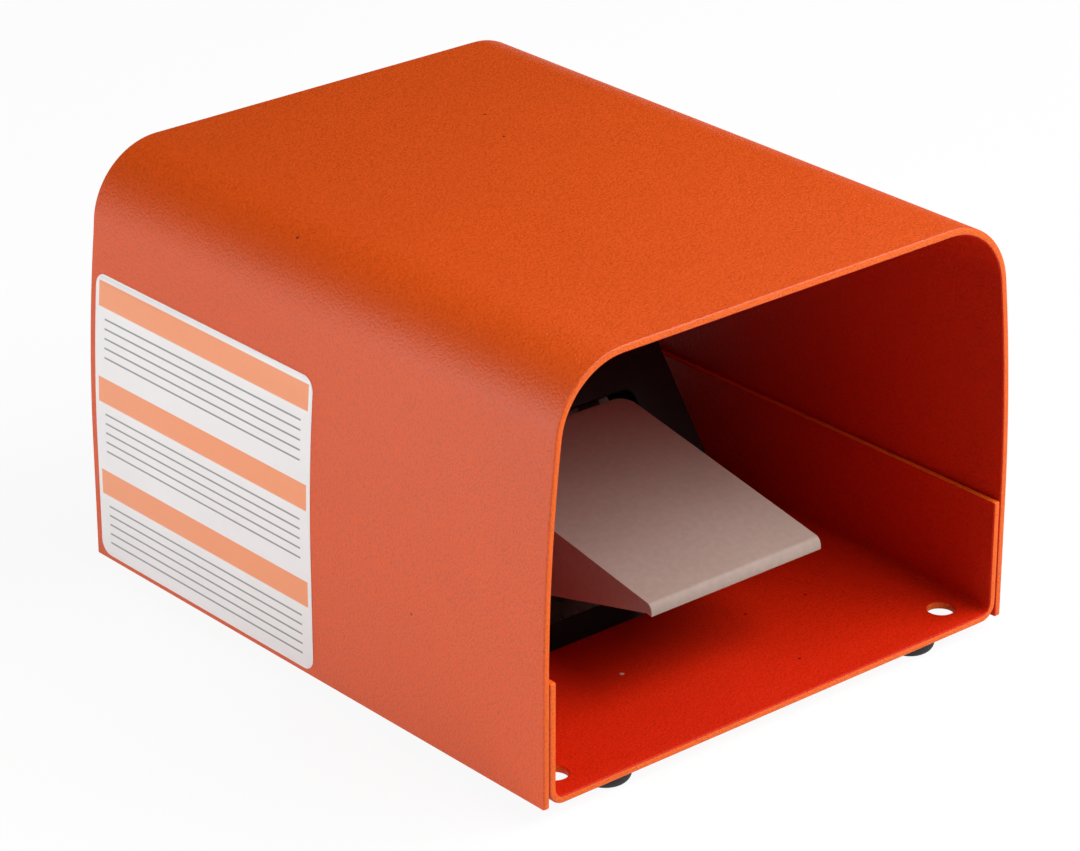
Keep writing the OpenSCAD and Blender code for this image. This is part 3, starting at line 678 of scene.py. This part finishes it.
black_rubber = rubber("black_rubber", (0.016, 0.016, 0.017), 0.72)
feet_low, feet_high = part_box("rubber_feet")
foot_radius = 6.35 * mm
foot_round = 2.5 * mm
foot_chamfer = 0.2 * mm
foot_profile = quarter_round(foot_radius, foot_round, 9)
foot_profile += [(foot_radius, feet_high.z - foot_chamfer),
                 (foot_radius - foot_chamfer, feet_high.z)]
feet = repeated(turned("foot_bumpers", foot_profile, [(0, 0, 0)]), black_rubber,
                feet_low, feet_high, foot_radius)
settle(feet, "base", "black_rubber", "rubber_feet")

# ---------------------------------------------------------------------------
# Switch housing: a black moulding with a satin spark-eroded skin, sloped at the
# front, arched round the treadle and screwed down from below the tray.


def moulding(name, color, rough, skin_scale, grain, drift=0.12, specular=0.45):
    """Moulded plastic with a fine eroded skin and a faint drift in tone."""
    mat, tree, bsdf, coords = shaded(name)
    bsdf.inputs["Specular IOR Level"].default_value = specular
    skin = noise_on(tree, coords, skin_scale, detail=4.0, rough=0.7)
    tone = noise_on(tree, coords, scale=45.0)
    mottle = noise_on(tree, coords, skin_scale * 0.45, detail=2.0)
    plain = mixed(tree, tone, tinted(color, 1 - drift), tinted(color, 1 + drift))
    hollows = ramp(tree, mottle, 0.35, 0.65, 0.35, 0.0)
    mottled = mixed(tree, hollows, plain, tinted(color, 0.8))
    tree.links.new(mottled, bsdf.inputs["Base Color"])
    sheen = ramp(tree, skin, 0.3, 0.7, rough - 0.06, rough + 0.08)
    tree.links.new(sheen, bsdf.inputs["Roughness"])
    bumped(tree, bsdf, skin, grain, 0.1 * mm)
    return mat


def merged_copy(name, node):
    """A copy of a CAD node, its loose triangles merged into flat faces."""
    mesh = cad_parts[node].data.copy()
    mesh.name = name
    mesh.materials.clear()
    bm = bmesh.new()
    bm.from_mesh(mesh)
    bmesh.ops.remove_doubles(bm, verts=bm.verts, dist=0.002 * mm)
    bmesh.ops.dissolve_limit(bm, angle_limit=math.radians(0.3), verts=bm.verts, edges=bm.edges)
    bm.to_mesh(mesh)
    bm.free()
    return placed(name, mesh)


def eased(obj, width, mat, segments=3):
    """The piece with its sharp edges eased by a small radius, as a mould leaves them."""
    bevel = obj.modifiers.new("ease", "BEVEL")
    bevel.width = width
    bevel.segments = segments
    bevel.limit_method = "ANGLE"
    bevel.angle_limit = math.radians(32)
    made = baked(obj, 30)
    made.data.materials.clear()
    made.data.materials.append(mat)
    return made


housing_black = moulding(
    "housing_black", (0.0060, 0.0056, 0.0056), 0.42, 1700.0, 0.35, specular=0.25)
housing = merged_copy("housing_shell", "switch_housing")

# The hub's plain bore is opened from the thread's crest to its root, to take the
# thread's sleeve. Only the hub lies behind hub_front.
hub_z = 35.5 * mm
hub_front = 70 * mm
thread_crest = 9.15 * mm
thread_root = 10.3 * mm
bore_ys = []
for vert in housing.data.vertices:
    out = math.hypot(vert.co.x, vert.co.z - hub_z)
    if vert.co.y > hub_front and abs(out - thread_crest) < 0.06 * mm:
        bore_ys.append(vert.co.y)
        vert.co.x *= thread_root / out
        vert.co.z = hub_z + (vert.co.z - hub_z) * thread_root / out
housing = eased(housing, 0.8 * mm, housing_black, 4)
settle(housing, "base", "housing_black", "switch_housing")

# ---------------------------------------------------------------------------
# Conduit thread: the hub's bore carries a moulded inside pipe thread, half inch,
# fourteen turns to the inch, with a lead-in at its mouth.


def threaded_ring(name, root, crest, pitch, front, rear, lead, sides=72, steps=8):
    """A sleeve whose inner face is a true helical thread that fades out at its mouth."""
    rows = round((rear - front) / pitch * steps)
    deepest = root - 0.06 * mm
    loops_at = []
    for j in range(rows + 1):
        y = front + (rear - front) * j / rows
        fade = min(1.0, max(0.0, (rear - y) / lead))
        waves = [abs(2 * (((y - front) / pitch - k / sides) % 1.0) - 1) for k in range(sides)]
        loops_at.append((y, [deepest - (deepest - crest) * wave * fade for wave in waves]))
    loops_at += [(y, [root] * sides) for y in (rear, front)]
    verts = [(rad * math.cos(2 * math.pi * k / sides), y,
              hub_z + rad * math.sin(2 * math.pi * k / sides))
             for y, radii in loops_at for k, rad in enumerate(radii)]
    loops = [[j * sides + k for k in range(sides)] for j in range(len(loops_at))]
    faces = [(a[k], a[(k + 1) % sides], b[(k + 1) % sides], b[k])
             for a, b in zip(loops, loops[1:] + loops[:1]) for k in range(sides)]
    mesh = bpy.data.meshes.new(name)
    mesh.from_pydata(verts, [], faces)
    mesh.materials.append(housing_black)
    return finished(name, mesh, 50)


thread_pitch = 1.814 * mm
thread_lead = 2.2 * mm
mouth_land = 0.5 * mm
thread = threaded_ring("conduit_thread", thread_root, thread_crest, thread_pitch,
                       min(bore_ys), max(bore_ys) - mouth_land, thread_lead)
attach(thread, "base")

# ---------------------------------------------------------------------------
# Treadle: a warm light grey moulding with a fine skin. Its lip is rounded over
# the top and crisp below; it turns on a pin inside the housing.
treadle_grey = moulding(
    "treadle_grey", (0.37, 0.284, 0.241), 0.55, 1300.0, 0.5, drift=0.05, specular=0.35)
treadle = merged_copy("treadle_moulding", "treadle")
pin_y = 30 * mm
lip_ahead = 101.8 * mm
tread_slope = math.radians(10.8)
tread_thick = 2.8 * mm
tray_floor_z = 5.5 * mm
tread_over_pin = 47.7 * mm
lip_y = pin_y - lip_ahead
lip_z = tray_floor_z + tread_over_pin - lip_ahead * math.tan(tread_slope)

# The plain front end of the tread is drawn out into a nose: its points keep their
# depth below the top face, and move back along the tread by an elliptic curve.
nose_length = 2.2 * mm
slope_sin, slope_cos = math.sin(tread_slope), math.cos(tread_slope)
for vert in treadle.data.vertices:
    ahead = vert.co.y - lip_y
    above = vert.co.z - lip_z
    along = ahead * slope_cos + above * slope_sin
    depth = ahead * slope_sin - above * slope_cos
    if along < tread_thick / 2 + 0.01 * mm:
        depth = min(max(depth, 0.0), tread_thick)
        nose = nose_length * (1 - math.sqrt(1 - (1 - depth / tread_thick) ** 2))
        vert.co.y = lip_y + nose * slope_cos + depth * slope_sin
        vert.co.z = lip_z + nose * slope_sin - depth * slope_cos
treadle = eased(treadle, 0.4 * mm, treadle_grey)
settle(treadle, "treadle", "treadle_grey", "treadle")

# ---------------------------------------------------------------------------
# Housing screws: four zinc plated pan head screws with a cross recess, driven up
# through the tray into the housing's bosses.


def metal(name, color, rough, brushed=(1.0, 1.0, 1.0)):
    """Plated or bare metal with fine scratches and a patchy passivation."""
    mat, tree, bsdf, coords = shaded(name)
    bsdf.inputs["Metallic"].default_value = 1.0
    stretch = tree.nodes.new("ShaderNodeMapping")
    stretch.inputs["Scale"].default_value = brushed
    tree.links.new(coords, stretch.inputs["Vector"])
    lines = noise_on(tree, stretch.outputs[0], scale=900.0)
    patch = noise_on(tree, coords, scale=120.0)
    tone = mixed(tree, patch, tinted(color, 0.88), tinted(color, 1.12))
    tree.links.new(tone, bsdf.inputs["Base Color"])
    sheen = ramp(tree, lines, 0.3, 0.7, rough - 0.08, rough + 0.1)
    tree.links.new(sheen, bsdf.inputs["Roughness"])
    bumped(tree, bsdf, lines, 0.15, 0.05 * mm)
    return mat


def driver_bar(turned_across):
    """One tapered bar of a cross driver, standing out of the screw's head."""
    ends = ((2.0 * mm, 0.42 * mm, -0.3 * mm), (1.2 * mm, 0.28 * mm, 1.35 * mm))
    corners = [(sx * half_length, sy * half_width, z) for half_length, half_width, z in ends
               for sx, sy in ((-1, -1), (1, -1), (1, 1), (-1, 1))]
    if turned_across:
        corners = [(-y, x, z) for x, y, z in corners]
    walls = [(k, (k + 1) % 4, (k + 1) % 4 + 4, k + 4) for k in range(4)]
    mesh = bpy.data.meshes.new("driver")
    mesh.from_pydata(corners, [], [(0, 1, 2, 3), (4, 5, 6, 7)] + walls)
    return finished("driver", mesh)


zinc_screw = metal("zinc_screw", (0.58, 0.58, 0.55), 0.3)
# Radius and height in millimetres, from the middle of the head up to the tip.
screw_profile = [
    (0.9, 0.0), (2.2, 0.1), (3.1, 0.42), (3.72, 0.95), (4.0, 1.7), (4.0, 2.08), (3.88, 2.2),
    (2.0, 2.2), (2.0, 13.4), (1.4, 14.2)]
screw = turned("housing_screw_set", [(rad * mm, z * mm) for rad, z in screw_profile], [(0, 0, 0)])
for across in (False, True):
    screw = cut(screw, driver_bar(across))
screws = repeated(screw, zinc_screw, screws_low, screws_high, screw_head_r, z=screws_low.z)
settle(screws, "base", "zinc_screw", "housing_screws")

# ---------------------------------------------------------------------------
# Return springs: two compression springs of drawn steel wire with closed ends.
# They stand on seats on the plate, and reach up to the treadle's pads.


def spring_winding_tree():
    """Winds a wire of a given height and number of turns, dead turns close at both ends."""
    tree, wound_in, wound_out = node_tree(
        "spring_winding", ("Mean Radius", "Float"), ("Wire", "Float"), ("Height", "Float"),
        ("Turns", "Float"), ("Dead Turns", "Float"), ("Material", "Material"))
    radius, wire, height, turns, dead = (
        wound_in.outputs[socket]
        for socket in ("Mean Radius", "Wire", "Height", "Turns", "Dead Turns"))
    steps = 240
    wire_line = tree.nodes.new("GeometryNodeMeshLine")
    wire_line.inputs["Count"].default_value = steps + 1
    index = tree.nodes.new("GeometryNodeInputIndex").outputs[0]
    wraps = calc(tree, "MULTIPLY", calc(tree, "DIVIDE", index, float(steps)), turns)
    around = calc(tree, "MULTIPLY", wraps, 2 * math.pi)
    live = calc(tree, "SUBTRACT", turns, calc(tree, "MULTIPLY", dead, 2.0))
    open_share = calc(tree, "DIVIDE", calc(tree, "SUBTRACT", wraps, dead), live)
    open_share = calc(tree, "MINIMUM", calc(tree, "MAXIMUM", open_share, 0.0), 1.0)
    solid = calc(tree, "MULTIPLY", calc(tree, "ADD", turns, 1.0), wire)
    spare = calc(tree, "SUBTRACT", height, solid)
    half_wire = calc(tree, "MULTIPLY", wire, 0.5)
    rise = calc(tree, "ADD", calc(tree, "MULTIPLY", wraps, wire),
                calc(tree, "MULTIPLY", open_share, spare))
    coil_point = tree.nodes.new("ShaderNodeCombineXYZ")
    for i, turning in enumerate(("COSINE", "SINE")):
        swing = calc(tree, "MULTIPLY", radius, calc(tree, turning, around))
        tree.links.new(swing, coil_point.inputs[i])
    tree.links.new(calc(tree, "ADD", rise, half_wire), coil_point.inputs[2])
    wound = tree.nodes.new("GeometryNodeSetPosition")
    tree.links.new(wire_line.outputs[0], wound.inputs["Geometry"])
    tree.links.new(coil_point.outputs[0], wound.inputs["Position"])
    as_curve = tree.nodes.new("GeometryNodeMeshToCurve")
    tree.links.new(wound.outputs[0], as_curve.inputs[0])
    section = tree.nodes.new("GeometryNodeCurvePrimitiveCircle")
    section.inputs["Resolution"].default_value = 12
    tree.links.new(half_wire, section.inputs["Radius"])
    drawn = tree.nodes.new("GeometryNodeCurveToMesh")
    tree.links.new(as_curve.outputs[0], drawn.inputs["Curve"])
    tree.links.new(section.outputs["Curve"], drawn.inputs["Profile Curve"])
    drawn.inputs["Fill Caps"].default_value = True
    close_tree(tree, drawn.outputs[0], wound_in, wound_out)
    return tree


spring_steel = metal("spring_steel", (0.48, 0.48, 0.5), 0.28)
coil_mean_r, coil_outer_r, coil_wire = 4.4 * mm, 5 * mm, 1.2 * mm
coils_low = Vector((-21.45 * mm, -4.6 * mm, 0))
coils_high = Vector((21.45 * mm, 5.4 * mm, 0))
seat_z, pad_z = 8.5 * mm, 39.45 * mm
coil = run_tree(
    placed("return_spring_pair", bpy.data.meshes.new("return_spring_pair")),
    spring_winding_tree(), 40, mean_radius=coil_mean_r, wire=coil_wire,
    height=pad_z - seat_z, turns=8.0, dead_turns=1.0, material=spring_steel)
springs = repeated(coil, spring_steel, coils_low, coils_high, coil_outer_r, (2, 1), seat_z, 40)
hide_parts("return_springs")
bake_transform(springs)

# ---------------------------------------------------------------------------
# Works: the plated plate and brackets, a ground pin, a moulded snap switch and
# their hardware. They sit inside the housing, and keep the shapes of the CAD.
zinc_plate = metal("zinc_plate", (0.62, 0.62, 0.6), 0.32, (1.0, 0.15, 1.0))
pin_steel = metal("pin_steel", (0.55, 0.55, 0.56), 0.22, (0.1, 1.0, 1.0))
terminal_brass = metal("terminal_brass", (0.72, 0.5, 0.2), 0.3)
clip_black = powder_coat("clip_black", (0.02, 0.02, 0.022), 0.5, grain=0.5)
ground_green = powder_coat("ground_green", (0.02, 0.17, 0.06), 0.4, grain=0.4)
nylon = moulding("nylon_natural", (0.72, 0.69, 0.6), 0.45, 1500.0, 0.2)
case_brown = moulding("case_brown", (0.035, 0.022, 0.018), 0.42, 1500.0, 0.25)
plunger_red = moulding("plunger_red", (0.35, 0.02, 0.015), 0.3, 1500.0, 0.1)
finishes = (
    (zinc_plate, ("base_plate", "pivot_bracket", "switch_bracket", "spring_seats")),
    (zinc_screw, ("bracket_rivets", "adjusting_screw", "adjusting_nut", "switch_screws",
                  "switch_nuts", "bracket_screws")),
    (pin_steel, ("pivot_pin",)), (clip_black, ("pin_clips",)),
    (spring_steel, ("switch_lever",)), (terminal_brass, ("switch_terminals",)),
    (black_rubber, ("rest_pad", "down_stops")), (nylon, ("pivot_bushes",)),
    (case_brown, ("switch_case",)), (plunger_red, ("switch_plunger",)),
    (ground_green, ("ground_screw",)),
)
for finish, pieces in finishes:
    for piece in pieces:
        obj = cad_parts[piece]
        if not obj.material_slots:
            obj.data.materials.append(finish)
        for spot in obj.material_slots:
            spot.material = finish
